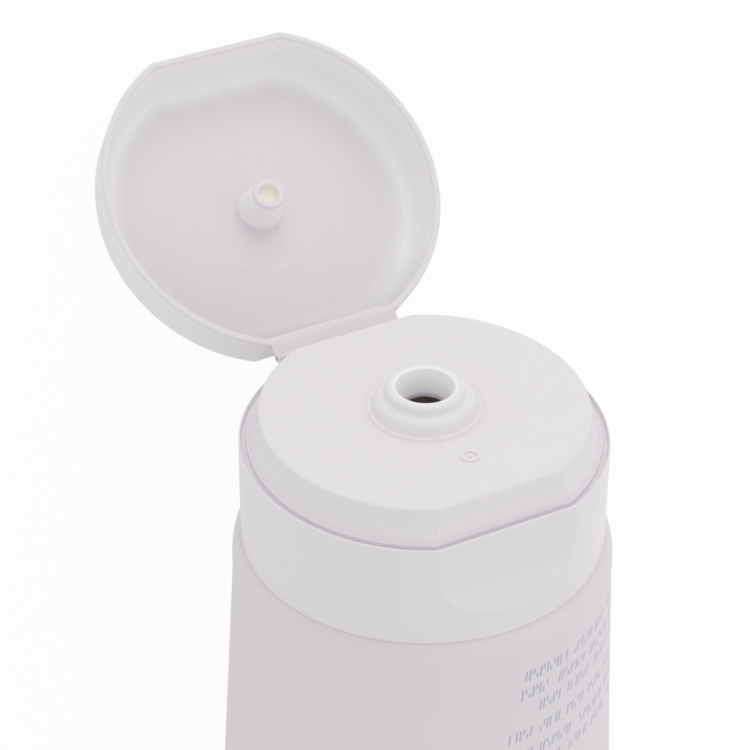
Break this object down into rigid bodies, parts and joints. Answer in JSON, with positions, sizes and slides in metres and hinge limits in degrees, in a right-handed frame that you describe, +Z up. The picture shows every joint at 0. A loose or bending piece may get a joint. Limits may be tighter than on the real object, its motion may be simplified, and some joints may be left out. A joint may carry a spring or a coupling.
{
  "type": "facial cleanser tube",
  "caption": "Soft squeeze tube with a crimped end and a flip-top cap, lying on its back with the lid open.",
  "frame": {"origin": "on the floor, under the middle of the lying tube's bounding box", "axes": "+X along the tube towards its crimped end, +Y along the hinge line, +Z up; the thumb side of the cap faces up"},
  "size_m": [0.2172, 0.0786, 0.0766],
  "materials": {
    "sleeve": "soft satin polyethylene",
    "head": "plain moulded polyethylene",
    "cap": "polished white polypropylene",
    "cleanser": "wet cream"
  },
  "bodies": {
    "tube": {"tube_sleeve": "sleeve", "tube_head": "head", "cleanser": "cleanser", "cap_base": "cap"},
    "lid": {"lid": "cap"}
  },
  "joints": [
    {"name": "lid_hinge", "type": "hinge", "parent": "tube", "child": "lid", "pos_m": [-0.072, 0, 0.03333], "axis": [0, -1, 0], "range_deg": [-144, 0]}
  ]
}
